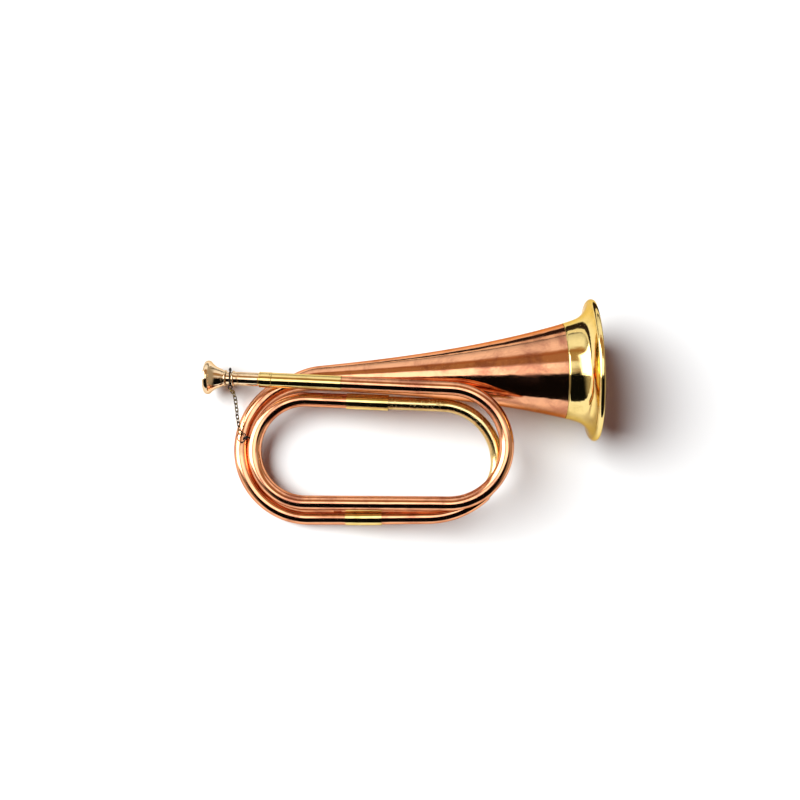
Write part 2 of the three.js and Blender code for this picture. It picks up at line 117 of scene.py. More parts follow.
class TubePath:
    """Straights and clockwise bows in the drawing's XY plane, by the length along them."""

    def __init__(self, start, heading):
        self.parts = []
        self.end = start
        self.heading = math.radians(heading)
        self.length = 0.0

    def _append(self, length, radius):
        part = (self.length, self.end, self.heading, radius)
        self.parts.append(part)
        self.length += length
        self.end = self._on(self.length, part)
        return self.length

    def straight(self, length):
        return self._append(length, None)

    def bow(self, radius, turn):
        length = self._append(radius * math.radians(turn), radius)
        self.heading -= math.radians(turn)
        return length

    @staticmethod
    def _on(s, part):
        start, (x, y), heading, radius = part
        run = s - start
        if radius is None:
            return x + run * math.cos(heading), y + run * math.sin(heading)
        turned = heading - run / radius
        across = radius * (math.sin(heading) - math.sin(turned))
        along = radius * (math.cos(turned) - math.cos(heading))
        return x + across, y + along

    def part_at(self, s):
        found = [part for part in self.parts if part[0] <= s + 1e-9]
        return found[-1] if found else self.parts[0]

    def place(self, s):
        return self._on(s, self.part_at(s))


path = TubePath(MOUTH, HEADING)
FRONT_BOW_AT = path.straight(LEADPIPE)
BOTTOM_RUN_AT = path.bow(*FRONT_BOW)
INNER_BOW_AT = path.straight(BOTTOM_RUN)
TOP_RUN_AT = path.bow(*INNER_BOW)
CROOK_AT = path.straight(TOP_RUN)
for crook_bow in CROOK_BOWS:
    RETURN_AT = path.bow(*crook_bow)
OUTER_BOW_AT = path.straight(RETURN_RUN)
THROAT_AT = path.bow(*OUTER_BOW)
path.straight(THROAT_RUN)
BELL_AT = path.bow(*THROAT_BOW)
RIM_AT = path.straight(BELL_LENGTH)

UPPER_FERRULE_AT = TOP_RUN_AT + UPPER_FERRULE_PLACE
CROOK_END_AT = CROOK_AT + CROOK_BOWS[0][0] * math.radians(CROOK_BOWS[0][1]) + CROOK_END_PLACE
LOWER_FERRULE_AT = RETURN_AT + LOWER_FERRULE_PLACE
GARLAND_AT = RIM_AT - GARLAND_LENGTH


def coil_plane(s):
    return COIL_HEIGHT + COIL_RISE * path.place(s)[0]


def halfway(a, b):
    return (a + b) / 2


HEIGHTS = (
    (0.0, coil_plane(0.0)),
    (FRONT_BOW_AT / 2, coil_plane(FRONT_BOW_AT / 2)),
    (FRONT_BOW_AT, coil_plane(FRONT_BOW_AT)),
    (halfway(FRONT_BOW_AT, BOTTOM_RUN_AT), coil_plane(halfway(FRONT_BOW_AT, BOTTOM_RUN_AT))),
    (BOTTOM_RUN_AT, coil_plane(BOTTOM_RUN_AT)),
    (INNER_BOW_AT, coil_plane(INNER_BOW_AT) - 0.8),
    (halfway(INNER_BOW_AT, TOP_RUN_AT), 9.0),
    (TOP_RUN_AT, 9.7),
    (CROOK_AT, 16.8),
    (halfway(CROOK_AT, RETURN_AT), 16.4),
    (RETURN_AT, 15.0),
    (halfway(RETURN_AT, OUTER_BOW_AT), 13.9),
    (OUTER_BOW_AT, 8.0),
    (halfway(OUTER_BOW_AT, THROAT_AT), 4.0),
    (THROAT_AT - 40, -2.8),
    (THROAT_AT, -4.0),
    (BELL_AT, 0.0),
    (RIM_AT, 0.0),
)
LAST = len(HEIGHTS) - 1


def height_slope(i):
    if i >= LAST - 1:
        return 0.0
    (s0, z0), (s1, z1) = HEIGHTS[max(i - 1, 0)], HEIGHTS[i + 1]
    return (z1 - z0) / (s1 - s0)


def height(s):
    """Cubic between the places in HEIGHTS."""
    later = [i for i, (place, _) in enumerate(HEIGHTS) if place > s]
    j = min(max((later[0] if later else LAST) - 1, 0), LAST - 1)
    (s0, z0), (s1, z1) = HEIGHTS[j], HEIGHTS[j + 1]
    step = s1 - s0
    t = (s - s0) / step
    start, end = 2 * t**3 - 3 * t**2 + 1, 3 * t**2 - 2 * t**3
    leave, arrive = (t**3 - 2 * t**2 + t) * step, (t**3 - t**2) * step
    return start * z0 + leave * height_slope(j) + end * z1 + arrive * height_slope(j + 1)


def centre(s):
    x, y = path.place(s)
    return np.array((x, y, height(s)))


def unit(v):
    return v / np.linalg.norm(v)


TANGENT_STEP = 0.05


def tangent(s):
    return unit(centre(s + TANGENT_STEP) - centre(s - TANGENT_STEP))


def bell_radius(back):
    """Outside radius of the bell, by the distance back from the front of its rim."""
    taper = BELL_TAPER_RADIUS * math.exp(-back / BELL_TAPER_LENGTH)
    return taper + FLARE_RADIUS * math.exp(-back / FLARE_LENGTH)


def taper_radius(s):
    """Outside radius of the copper from the lower ferrule to the bell."""
    if s > BELL_AT:
        return bell_radius(RIM_AT - s)
    if s > THROAT_AT:
        share = (s - THROAT_AT) / (BELL_AT - THROAT_AT)
        return THROAT_START_RADIUS + share * (bell_radius(BELL_LENGTH) - THROAT_START_RADIUS)
    half = halfway(OUTER_BOW_AT, THROAT_AT)
    share = (min(max(s, RETURN_AT), half) - RETURN_AT) / (half - RETURN_AT)
    early = TUBE_RADIUS + share * (HALFWAY_RADIUS - TUBE_RADIUS)
    t = min(max((s - half) / (THROAT_AT - half), 0.0), 1.0)
    return early + (THROAT_START_RADIUS - HALFWAY_RADIUS) * t * t * (3 - 2 * t)


# ---- From the drawing to the row frame ----------------------------------------------------------

ROLL = Matrix.Rotation(math.radians(REST_ROLL), 3, "X")
REST = ROLL @ Matrix.Rotation(math.radians(REST_PITCH), 3, "Y")
ROTATION = np.array(REST)
joints = {joint["name"]: joint for joint in frame["joints"]}
MOUTH_ROW = np.array(joints["mouthpiece_twist"]["pos_m"])
SHIFT = MOUTH_ROW - ROTATION @ centre(0.0) * MM


def to_row(points):
    return np.asarray(points) @ ROTATION.T * MM + SHIFT


def to_drawing(points):
    return (np.asarray(points) - SHIFT) @ ROTATION / MM


# ---- Materials ----------------------------------------------------------------------------------


class Nodes:
    """Short ways to build a node tree."""

    def __init__(self, owner):
        owner.use_nodes = True
        self.tree = owner.node_tree
        self.tree.nodes.clear()

    def new(self, kind, **settings):
        node = self.tree.nodes.new(kind)
        for key, value in settings.items():
            setattr(node, key, value)
        return node

    def link(self, source, target):
        self.tree.links.new(source, target)

    def feed(self, socket, value):
        if isinstance(value, bpy.types.NodeSocket):
            self.link(value, socket)
        else:
            socket.default_value = value

    def math(self, operation, *values):
        node = self.new("ShaderNodeMath", operation=operation)
        for socket, value in zip(node.inputs, values):
            self.feed(socket, value)
        return node.outputs[0]

    def dot(self, vector, axis):
        node = self.new("ShaderNodeVectorMath", operation="DOT_PRODUCT")
        self.feed(node.inputs[0], vector)
        self.feed(node.inputs[1], axis)
        return node.outputs["Value"]

    def scaled(self, vector, scale):
        node = self.new("ShaderNodeVectorMath", operation="MULTIPLY")
        self.feed(node.inputs[0], vector)
        self.feed(node.inputs[1], scale)
        return node.outputs[0]

    def smooth(self, value, low, high, start=0.0, end=1.0):
        """Smooth step from start to end as the value goes from low to high."""
        node = self.new("ShaderNodeMapRange", interpolation_type="SMOOTHSTEP")
        for socket, item in zip(node.inputs, (value, low, high, start, end)):
            self.feed(socket, item)
        return node.outputs[0]

    def noise(self, vector, scale, detail=3.0, roughness=0.5, distortion=0.0):
        node = self.new("ShaderNodeTexNoise")
        self.feed(node.inputs["Vector"], vector)
        settings = {"Scale": scale, "Detail": detail, "Roughness": roughness, "Distortion": distortion}
        for key, value in settings.items():
            node.inputs[key].default_value = value
        return node.outputs["Fac"]

    def mix(self, share, a, b):
        node = self.new("ShaderNodeMix", data_type="RGBA")
        self.feed(node.inputs["Factor"], share)
        self.feed(node.inputs["A"], a)
        self.feed(node.inputs["B"], b)
        return node.outputs["Result"]

    def blend(self, share, a, b):
        """Shader a where share is 0, and shader b where it is 1."""
        node = self.new("ShaderNodeMixShader")
        for socket, value in zip(node.inputs, (share, a.outputs[0], b.outputs[0])):
            self.link(value, socket)
        return node

    def shader(self, kind, color):
        """A shader node whose first input takes a color or a color socket."""
        node = self.new(kind)
        self.feed(node.inputs[0], color)
        return node

    def band(self, value, rise, fall):
        """1 between the two soft edges rise and fall, and 0 outside them."""
        return self.math("MULTIPLY", self.smooth(value, *rise), self.smooth(value, *fall, 1.0, 0.0))

    def ramp(self, value, stops):
        node = self.new("ShaderNodeValToRGB")
        elements = node.color_ramp.elements
        elements[0].position, elements[0].color = stops[0]
        elements[1].position, elements[1].color = stops[-1]
        for position, color in stops[1:-1]:
            elements.new(position).color = color
        self.link(value, node.inputs[0])
        return node.outputs[0]


def rgba(r, g, b):
    return r, g, b, 1.0


# Noise scales, per metre of tube; the stretches draw a noise out along the tube.
CLOUD_SCALE, STREAK_SCALE, DENT_SCALE, SPECK_SCALE, PATCH_SCALE = 45.0, 900.0, 160.0, 700.0, 60.0
STREAK_STRETCH, DENT_STRETCH = (0.06, 1.0, 1.0), (0.35, 1.0, 1.0)
STREAK_COLOR, STREAK_ROUGHNESS, STREAK_DEPTH = 0.22, 0.04, 0.006
DENT_DEPTH = 0.12
SPECK_EDGES, PATCH_EDGES = (0.52, 0.68), (0.44, 0.58)
WORN_ROUGHNESS, PITTED_ROUGHNESS = 0.10, 0.25


def metal(name, bright, tarnished, edge, roughness, tarnish=(0.5, 0.8), pits=0.0, metallic=1.0):
    """Polished metal: long faint drawing streaks, cloudy tarnish, fine scratches and soft dents."""
    material = bpy.data.materials.new(name)
    n = Nodes(material)
    shader = n.new("ShaderNodeBsdfPrincipled")
    n.link(shader.outputs[0], n.new("ShaderNodeOutputMaterial").inputs[0])
    shader.inputs["Metallic"].default_value = metallic
    shader.inputs["Specular Tint"].default_value = edge
    where = n.new("ShaderNodeAttribute", attribute_name="tube").outputs["Vector"]
    streaks = n.noise(n.scaled(where, STREAK_STRETCH), STREAK_SCALE, 3.0)
    worn = n.smooth(n.noise(where, CLOUD_SCALE, 5.0, 0.6, 0.4), *tarnish)
    streaked = n.math("MULTIPLY", streaks, STREAK_COLOR)
    n.link(n.mix(streaked, n.mix(worn, bright, tarnished), tarnished), shader.inputs["Base Color"])
    rough = n.math("MULTIPLY_ADD", worn, WORN_ROUGHNESS, roughness)
    rough = n.math("MULTIPLY_ADD", streaks, STREAK_ROUGHNESS, rough)
    relief = n.math("MULTIPLY", n.noise(n.scaled(where, DENT_STRETCH), DENT_SCALE, 2.0), DENT_DEPTH)
    relief = n.math("MULTIPLY_ADD", streaks, STREAK_DEPTH, relief)
    if pits:
        specks = n.smooth(n.noise(where, SPECK_SCALE, 4.0, 0.7), *SPECK_EDGES)
        patches = n.smooth(n.noise(where, PATCH_SCALE, 2.0), *PATCH_EDGES)
        mottle = n.math("MULTIPLY", specks, patches)
        rough = n.math("MULTIPLY_ADD", mottle, PITTED_ROUGHNESS, rough)
        relief = n.math("MULTIPLY_ADD", mottle, -pits, relief)
    n.link(rough, shader.inputs["Roughness"])
    bump = n.new("ShaderNodeBump")
    bump.inputs["Strength"].default_value = 1.0
    bump.inputs["Distance"].default_value = MM
    n.link(relief, bump.inputs["Height"])
    n.link(bump.outputs[0], shader.inputs["Normal"])
    return material


# Each metal: its bright and tarnished colors, then its color where it is seen edge on.
COPPER = metal(
    "polished_copper", rgba(0.92, 0.45, 0.24), rgba(0.46, 0.17, 0.10), rgba(0.58, 0.28, 0.17),
    roughness=0.06, tarnish=(0.42, 0.74),
)
BRASS = metal(
    "polished_brass", rgba(0.93, 0.71, 0.29), rgba(0.58, 0.41, 0.12), rgba(0.70, 0.53, 0.26),
    roughness=0.06,
)
CROOK_BRASS = metal(
    "mottled_brass", rgba(0.84, 0.65, 0.31), rgba(0.42, 0.29, 0.11), rgba(0.55, 0.40, 0.18),
    roughness=0.09, tarnish=(0.46, 0.72), pits=0.04,
)
ROSE_BRASS = metal(
    "rose_brass", rgba(0.94, 0.72, 0.46), rgba(0.62, 0.38, 0.20), rgba(0.60, 0.42, 0.24),
    roughness=0.07,
)
CHAIN_BRASS = metal(
    "dull_chain_brass", rgba(0.48, 0.37, 0.13), rgba(0.06, 0.04, 0.02), rgba(0.10, 0.07, 0.03),
    roughness=0.28, tarnish=(0.4, 0.6),
)
DARK_WIRE = metal(
    "dark_wire", rgba(0.020, 0.016, 0.014), rgba(0.008, 0.006, 0.005), rgba(0.5, 0.5, 0.5),
    roughness=0.42, tarnish=(0.4, 0.6), metallic=0.0,
)
SOLDER = metal(
    "dull_solder", rgba(0.95, 0.48, 0.28), rgba(0.75, 0.34, 0.19), rgba(0.5, 0.3, 0.2),
    roughness=0.35, tarnish=(0.4, 0.6), pits=0.1, metallic=0.25,
)

# ---- Meshes -------------------------------------------------------------------------------------


SHARP_ANGLE = math.radians(40)  # creases sharper than this stay crisp


def piece(name, points, faces, material, node, body, tube=None):
    """A smooth mesh in the row frame that stands for a CAD node and rides on its body.

    The points are in the drawing. Materials read each point's `tube`: its place along the tube
    and its offsets across it, or else its place in the drawing.
    """
    mesh = bpy.data.meshes.new(name)
    mesh.from_pydata(to_row(points).tolist(), [], faces)
    mesh.materials.append(material)
    mesh.shade_smooth()
    mesh.set_sharp_from_angle(angle=SHARP_ANGLE)
    attribute = mesh.attributes.new("tube", "FLOAT_VECTOR", "POINT")
    where = np.asarray(points if tube is None else tube, np.float32) * MM
    attribute.data.foreach_set("vector", where.ravel())
    thing = bpy.data.objects.new(name, mesh)
    bpy.context.scene.collection.objects.link(thing)
    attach(thing, body)
    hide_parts(node)
    return thing


def grid_faces(rings, sides, first=0, closed=True):
    """Quads between each ring of points and the next; closed joins the last ring to the first."""
    faces = []
    for i in range(rings if closed else rings - 1):
        ring, following = first + i * sides, first + (i + 1) % rings * sides
        for k in range(sides):
            beside = (k + 1) % sides
            faces.append((ring + k, ring + beside, following + beside, following + k))
    return faces


def circle(sides):
    """Cosines and sines round a circle, as columns."""
    turns = np.arange(sides) * 2 * math.pi / sides
    return np.cos(turns)[:, None], np.sin(turns)[:, None]


def section_axes(places):
    """Two axes across the tube at each place, carried along it without twisting."""
    side = np.array((0.0, 0.0, 1.0))
    axes = {}
    for s in sorted(set(places)):
        along = tangent(s)
        side = unit(side - along * side.dot(along))
        axes[s] = (side, np.cross(along, side))
    return axes


def swept(name, outline, sides, material, node, body):
    """A closed outline of (place, radius) points turned about the tube's own centreline."""
    axes = section_axes([s for s, _ in outline])
    cosine, sine = circle(sides)
    points, tube = [], []
    for s, radius in outline:
        side, up = axes[s]
        points.append(centre(s) + radius * (cosine * side + sine * up))
        tube.append(np.hstack((np.full((sides, 1), s), radius * cosine, radius * sine)))
    faces = grid_faces(len(outline), sides)
    return piece(name, np.vstack(points), faces, material, node, body, np.vstack(tube))


BOW_STEP, STRAIGHT_STEP = 1.6, 6.0


def places_between(start, end):
    """Places along the tube, close together on its bows and further apart on its straights."""
    changes = [part[0] for part in path.parts if start + 1 < part[0] < end - 1]
    breaks = [start, *changes, end]
    places = [start]
    for low, high in zip(breaks, breaks[1:]):
        on_bow = path.part_at(halfway(low, high))[3] is not None
        count = math.ceil((high - low) / (BOW_STEP if on_bow else STRAIGHT_STEP))
        places += [low + (high - low) * i / count for i in range(1, count + 1)]
    return places


EDGE = 0.12  # depth of the fine cut just below a tube's outer corner


def tube_outline(start, end, outer, painted_light_band):
    """Outside from start to end, each end cut in below its corner, then back along the bore."""
    middle = [s for s in places_between(start, end) if start + 2 * EDGE < s < end - 2 * EDGE]
    first = []
    for angle in (0, 30, 60, 90):
        cut = EDGE * (1 - math.sin(math.radians(angle)))
        first.append((start + cut, outer(start) - cut))
    last = [(end - (s - start), outer(end) - outer(start) + r) for s, r in reversed(first)]
    outside = [*first, *((s, outer(s)) for s in middle), *last]
    bore = [(s, outer(s) - painted_light_band) for s in (end, *reversed(middle), start)]
    return [*outside, *bore]


CURVE_STEPS = 6  # points for each stretch of a curve


def between(a, b, c, d, t):
    """Catmull-Rom value at share t of the way from b to c."""
    bend = (2 * a - 5 * b + 4 * c - d) * t * t + (3 * b - a - 3 * c + d) * t**3
    return 0.5 * (2 * b + (c - a) * t + bend)


def curve_through(points):
    """Smooth curve of points through (place, radius) pairs."""
    ends = [points[0], *points, points[-1]]
    curve = []
    for near in zip(ends, ends[1:], ends[2:], ends[3:]):
        for i in range(CURVE_STEPS):
            curve.append(tuple(between(*values, i / CURVE_STEPS) for values in zip(*near)))
    return [*curve, points[-1]]


def arc(place, radius, size, start, end, steps):
    """Points of an arc in a (place, radius) outline; angles in degrees from the +radius axis."""
    angles = [math.radians(start + (end - start) * i / steps) for i in range(steps + 1)]
    return [(place + size * math.sin(a), radius + size * math.cos(a)) for a in angles]


WIRE_SIDES = 12


def wire_rings(line, radius, closed):
    """Rings of points round each point of a line, carried along it without twisting."""
    cosine, sine = circle(WIRE_SIDES)
    if closed:
        before, after = np.roll(line, 1, axis=0), np.roll(line, -1, axis=0)
    else:
        before, after = np.vstack((line[:1], line[:-1])), np.vstack((line[1:], line[-1:]))
    rings = []
    side = np.cross(after[0] - before[0], (0.31, 0.17, 0.93))  # any direction across the line
    for middle, way in zip(line, after - before):
        along = unit(way)
        side = unit(side - along * side.dot(along))
        rings.append(middle + radius * (cosine * side + sine * np.cross(along, side)))
    return rings


def wire(name, runs, material, node, body):
    """Round wires along closed or open lines of drawing points: (points, radius, closed)."""
    points, faces = [], []
    for line, radius, closed in runs:
        first, count = len(points) * WIRE_SIDES, len(line)
        points += wire_rings(np.asarray(line), radius, closed)
        faces += grid_faces(count, WIRE_SIDES, first, closed)
        if not closed:
            last = first + (count - 1) * WIRE_SIDES
            faces.append(tuple(first + k for k in reversed(range(WIRE_SIDES))))
            faces.append(tuple(last + k for k in range(WIRE_SIDES)))
    return piece(name, np.vstack(points), faces, material, node, body)


# ---- Tubes --------------------------------------------------------------------------------------

SIDES = 72  # of a tube of the coil


def constant(radius):
    return lambda s: radius


def tube(name, start, end, outer, painted_light_band, material, slot):
    """A drawn tube of the coil: its outside radius is a function of the place."""
    outline = tube_outline(start, end, outer, painted_light_band)
    return swept(f"{name}_look", outline, SIDES, material, name, "coil")


tube("first_coil", RECEIVER_LENGTH + JOINT_GAP, UPPER_FERRULE_AT - JOINT_GAP / 2,
     constant(TUBE_RADIUS), TUBE_WALL, COPPER, "copper")
tube("brass_crook", UPPER_FERRULE_AT + JOINT_GAP / 2, CROOK_END_AT - JOINT_GAP / 2,
     constant(CROOK_RADIUS), TUBE_WALL, CROOK_BRASS, "brass")
tube("return_tube", CROOK_END_AT + JOINT_GAP / 2, LOWER_FERRULE_AT - JOINT_GAP / 2,
     constant(TUBE_RADIUS), TUBE_WALL, COPPER, "copper")
tube("bell_tube", LOWER_FERRULE_AT + JOINT_GAP / 2, GARLAND_AT - JOINT_GAP,
     taper_radius, SHEET, COPPER, "copper")
tube("receiver_tube", COLLAR_LENGTH + JOINT_GAP, RECEIVER_LENGTH,
     constant(RECEIVER_RADIUS), RECEIVER_RADIUS - RECEIVER_BORE, BRASS, "brass")
for name, middle, length in (
    ("upper_ferrule", UPPER_FERRULE_AT, FERRULE_LENGTH),
    ("lower_ferrule", LOWER_FERRULE_AT, LOWER_FERRULE_LENGTH),
):
    tube(name, middle - length / 2, middle + length / 2,
         constant(FERRULE_RADIUS), FERRULE_WALL, BRASS, "brass")

# The collar has a turned groove near each end, and chamfered edges.
COLLAR_RADIUS = RECEIVER_RADIUS + 0.2
COLLAR_CHAMFERS = 0.25, 0.2
GROOVE_DEPTH, GROOVE_SLOPE, GROOVE_WIDTH = 0.5, 0.1, 0.6
GROOVE_PLACES = 1.1, COLLAR_LENGTH - 1.4

collar = [(0.0, COLLAR_RADIUS - COLLAR_CHAMFERS[0]), (COLLAR_CHAMFERS[0], COLLAR_RADIUS)]
for place in GROOVE_PLACES:
    collar += [
        (place, COLLAR_RADIUS),
        (place + GROOVE_SLOPE, COLLAR_RADIUS - GROOVE_DEPTH),
        (place + GROOVE_WIDTH - GROOVE_SLOPE, COLLAR_RADIUS - GROOVE_DEPTH),
        (place + GROOVE_WIDTH, COLLAR_RADIUS),
    ]
collar += [
    (COLLAR_LENGTH - COLLAR_CHAMFERS[1], COLLAR_RADIUS),
    (COLLAR_LENGTH, COLLAR_RADIUS - COLLAR_CHAMFERS[1]),
    (COLLAR_LENGTH, RECEIVER_BORE),
    (0.0, RECEIVER_BORE),
]
swept("receiver_collar_look", collar, SIDES, BRASS, "receiver_collar", "coil")

# ---- Bell mouth ---------------------------------------------------------------------------------

BELL_SIDES = 160
GARLAND_PROUD = 0.1
EDGE_BEAD = 0.13  # radius of the turned edge where the garland meets the copper
GARLAND_STEPS = 48

garland_end = GARLAND_LENGTH - 1.9 * RIM_BEAD  # inside the rim's bead
garland_edge = bell_radius(GARLAND_LENGTH) + GARLAND_PROUD
outside = [
    (GARLAND_AT + d, bell_radius(GARLAND_LENGTH - d) + GARLAND_PROUD)
    for d in np.linspace(1.0, garland_end, GARLAND_STEPS)
]
garland = [
    (GARLAND_AT, garland_edge),
    *arc(GARLAND_AT + 0.2, garland_edge, EDGE_BEAD, -90, 90, 10),
    (GARLAND_AT + 0.5, garland_edge - 0.05),
    *outside,
    *((s, r - SHEET) for s, r in reversed(outside)),
    (GARLAND_AT, garland_edge - SHEET),
]
swept("bell_garland_look", garland, BELL_SIDES, BRASS, "bell_garland", "coil")

land = math.degrees(math.acos(RIM_LAND / RIM_BEAD))
rim = arc(RIM_AT - RIM_BEAD, RIM_RADIUS - RIM_BEAD, RIM_BEAD, -270 + land, 90 - land, 30)
swept("bell_rim_look", rim, BELL_SIDES, BRASS, "bell_rim", "coil")

# ---- Mouthpiece ---------------------------------------------------------------------------------

# Places are along the leadpipe from its open end, so those outside it are negative.
MOUTHPIECE_SIDES = 96
FACE = (-43.1, 10.2)  # where the rim turns in to the cup
FUNNEL_TOP = (-38.3, 11.9)
BEAD = 0.75
LINE_START, LINE_END, LINE_RADIUS = -16.6, -16.05, 5.0  # a turned line in the stem

rim_face = curve_through([
    FACE, (-43.3, 11.0), (-43.15, 11.9), (-42.5, 12.8), (-41.3, MOUTH_RIM_RADIUS),
    (-39.9, 13.2), (-38.9, 12.6), FUNNEL_TOP,
])
funnel = curve_through([
    FUNNEL_TOP, (-36.9, 10.6), (-35.0, 9.15), (-32.8, 8.0), (-30.3, 7.0), (-28.9, 6.2),
])
upper_bead = arc(-27.1, 5.6, BEAD, -75, 90, 10)
lower_bead = arc(-20.8, 5.4, BEAD, -80, 80, 10)
stem = curve_through([(-19.7, 5.35), (-18.9, 5.2), (-17, 5.25), (-10, 5.3), (-4, 5.3), (-1.2, 5.25)])
turned_line = [
    (LINE_START, 5.3), (LINE_START + 0.15, LINE_RADIUS), (LINE_END - 0.15, LINE_RADIUS), (LINE_END, 5.3),
]
shank = [(-0.9, 5.2), (-0.5, 4.9), (SHANK_INSIDE - 0.3, 4.42), (SHANK_INSIDE, 4.2)]
bore = [(SHANK_INSIDE, 3.4), (-16.0, 2.2)]
cup = curve_through([
    (-22, 2.2), (-24.5, 2.8), (-28, 3.9), (-33, 5.4), (-38.4, 7.4), (-41.8, 8.9), FACE,
])
mouthpiece = [
    *rim_face, *funnel[1:], (-28.3, 5.95),
    *upper_bead, (-25.9, 4.75), (-22.1, 4.75), *lower_bead,
    *(p for p in stem if p[0] < LINE_START), *turned_line, *(p for p in stem if p[0] > LINE_END),
    *shank, *bore, *cup[:-1],
]
swept("mouthpiece_look", mouthpiece, MOUTHPIECE_SIDES, ROSE_BRASS, "mouthpiece", "mouthpiece")

# ---- Neck wire, chain, split ring and eyelet ----------------------------------------------------

X, Y, Z = np.eye(3)
neck = centre(0.0) - tangent(0.0) * NECK_PLACE
ROUND = np.linspace(0, 2 * math.pi, 97)[:-1]


def column(values):
    return np.asarray(values)[:, None]


def ring_points(middle, radius, angles, a, b):
    """Points round a circle, or two turns of it, in the plane of axes a and b."""
    return middle + radius * (column(np.cos(angles)) * a + column(np.sin(angles)) * b)


STRAND = 0.30
STRAND_OFFSET = 0.2  # from the middle of the twisted pair to the middle of a strand


def twisted_loop(middle, a, b, radius, turns):
    """Two strands that wind round each other along a circle in the plane of axes a and b."""
    strands = []
    for start in (0, math.pi):
        phase = ROUND * turns + start
        outward = column(np.cos(ROUND)) * a + column(np.sin(ROUND)) * b
        line = middle + outward * column(radius + STRAND_OFFSET * np.cos(phase))
        line = line + np.cross(a, b) * column(STRAND_OFFSET * np.sin(phase))
        strands.append((line, STRAND, True))
    return strands


KNOT_WIRE = 0.36
KNOT_STEPS = 60
KNOT_HALF_LENGTH = 1.3
KNOT_SWELL = 0.85  # widest distance of the knot's two strands from its middle
KNOT_FLATTENING = 0.8


def knot(middle):
    """The two ends of the wire, twisted together into a short spindle along Y."""
    turn = np.linspace(0, 5 * math.pi, KNOT_STEPS)
    swell = KNOT_SWELL * np.sin(np.linspace(0.5, math.pi - 0.25, KNOT_STEPS))
    reach = Y * column(np.linspace(-KNOT_HALF_LENGTH, KNOT_HALF_LENGTH, KNOT_STEPS))
    strands = []
    for start in (0, math.pi):
        wide = X * column(swell * np.cos(turn + start))
        high = Z * column(swell * KNOT_FLATTENING * np.sin(turn + start))
        strands.append((middle + wide + high + reach, KNOT_WIRE, False))
    return strands


neck_runs = [
    *twisted_loop(neck, Y, Z, NECK_LOOP_RADIUS, 14),
    *twisted_loop(neck - Y * (NECK_LOOP_RADIUS + NECK_EYE), X, Y, NECK_EYE, 4),
    *knot(neck + Y * (NECK_LOOP_RADIUS + 1.1)),
]
wire("neck_wire_look", neck_runs, DARK_WIRE, "neck_wire", "neck_loop")


EVEN = 0.2  # the corners' mean is the better middle while it is this close to the box's middle


def principal(node):
    """Middle and axes of a CAD node, longest axis first, in the drawing."""
    points = to_drawing([v.co for v in frame["nodes"][node].data.vertices])
    points = np.unique(points.round(3), axis=0)
    middle = (points.min(0) + points.max(0)) / 2
    middle = points.mean(0) if np.linalg.norm(points.mean(0) - middle) < EVEN else middle
    _, _, axes = np.linalg.svd(points - middle)
    return middle, axes


def link_line(middle, along, across):
    """An oval: two straights between two half circles."""
    reach, radius = (LINK_LENGTH - LINK_WIDTH) / 2, LINK_WIDTH / 2
    line = []
    for end in (1, -1):
        for angle in np.linspace(-math.pi / 2, math.pi / 2, 13):
            a, b = end * (reach + radius * math.cos(angle)), end * radius * math.sin(angle)
            line.append(middle + along * a + across * b)
    return line


LINK_LOOK_RADIUS = LINK_WIRE / 2 + 0.05
for number in range(1, LINKS + 1):
    name = f"chain_link_{number:02d}"
    middle, (along, across, _) = principal(name)
    oval = [(link_line(middle, along, across), LINK_LOOK_RADIUS, True)]
    wire(f"{name}_look", oval, CHAIN_BRASS, name, f"link_{number:02d}")

# The split ring is nearly two turns of a finer wire, which cross over to lie side by side.
SPLIT_WIRE = 0.33
SPLIT_PITCH = 0.6
SPLIT_GAP = 0.35  # radians short of two whole turns
CROSSING = 0.8  # radians over which one turn climbs to the other
middle, (a, b, normal) = principal("split_ring")
spiral = np.linspace(0, 4 * math.pi - SPLIT_GAP, 150)
climb = np.clip((spiral - 2 * math.pi) / CROSSING + 0.5, 0, 1)
split_line = ring_points(middle, SPLIT_RING_RADIUS, spiral, a, b)
split_line = split_line + normal * column((climb - 0.5) * SPLIT_PITCH)
wire("split_ring_look", [(split_line, SPLIT_WIRE, False)], DARK_WIRE,
     "split_ring", "split_ring")

pivot = to_drawing(np.array(joints["split_ring_swing"]["pos_m"]))
foot = pivot - Z * (EYELET_FOOT + EYELET_RADIUS - EYELET_SUNK)
stalk = foot + Z * column(np.linspace(-EYELET_FOOT * 0.9, EYELET_FOOT * 0.9, 12))
eyelet_runs = [
    (ring_points(pivot, EYELET_RADIUS, ROUND, X, Z), EYELET_WIRE / 2, True),
    (stalk, EYELET_FOOT * 0.7, False),
]
wire("eyelet_look", eyelet_runs, DARK_WIRE, "eyelet", "coil")

SOLDER_EDGE = 0.3 * MM
for name in ("solder_bows", "solder_runs", "solder_throat"):
    pad = frame["nodes"][name]
    pad.data.materials.clear()
    pad.data.materials.append(SOLDER)
    bevel = pad.modifiers.new("soft_edges", "BEVEL")
    bevel.width = SOLDER_EDGE
    bevel.segments = 3

# ---- Camera -------------------------------------------------------------------------------------

camera = bpy.data.objects.new("camera", bpy.data.cameras.new("camera"))
bpy.context.scene.collection.objects.link(camera)
camera.data.lens = LENS
camera.data.sensor_width = SENSOR
camera.data.clip_start, camera.data.clip_end = 0.01, 20.0
camera.matrix_world = Matrix.Translation(Vector(to_row((0, 0, CAMERA_HEIGHT)))) @ REST.to_4x4()
bpy.context.scene.camera = camera

# ---- Floor and light ----------------------------------------------------------------------------

scene = bpy.context.scene
scene.view_settings.view_transform = "Standard"
scene.view_settings.look = "None"

FLOOR_HALF = 4.0
FLOOR_COLOR = rgba(0.87, 0.87, 0.87)
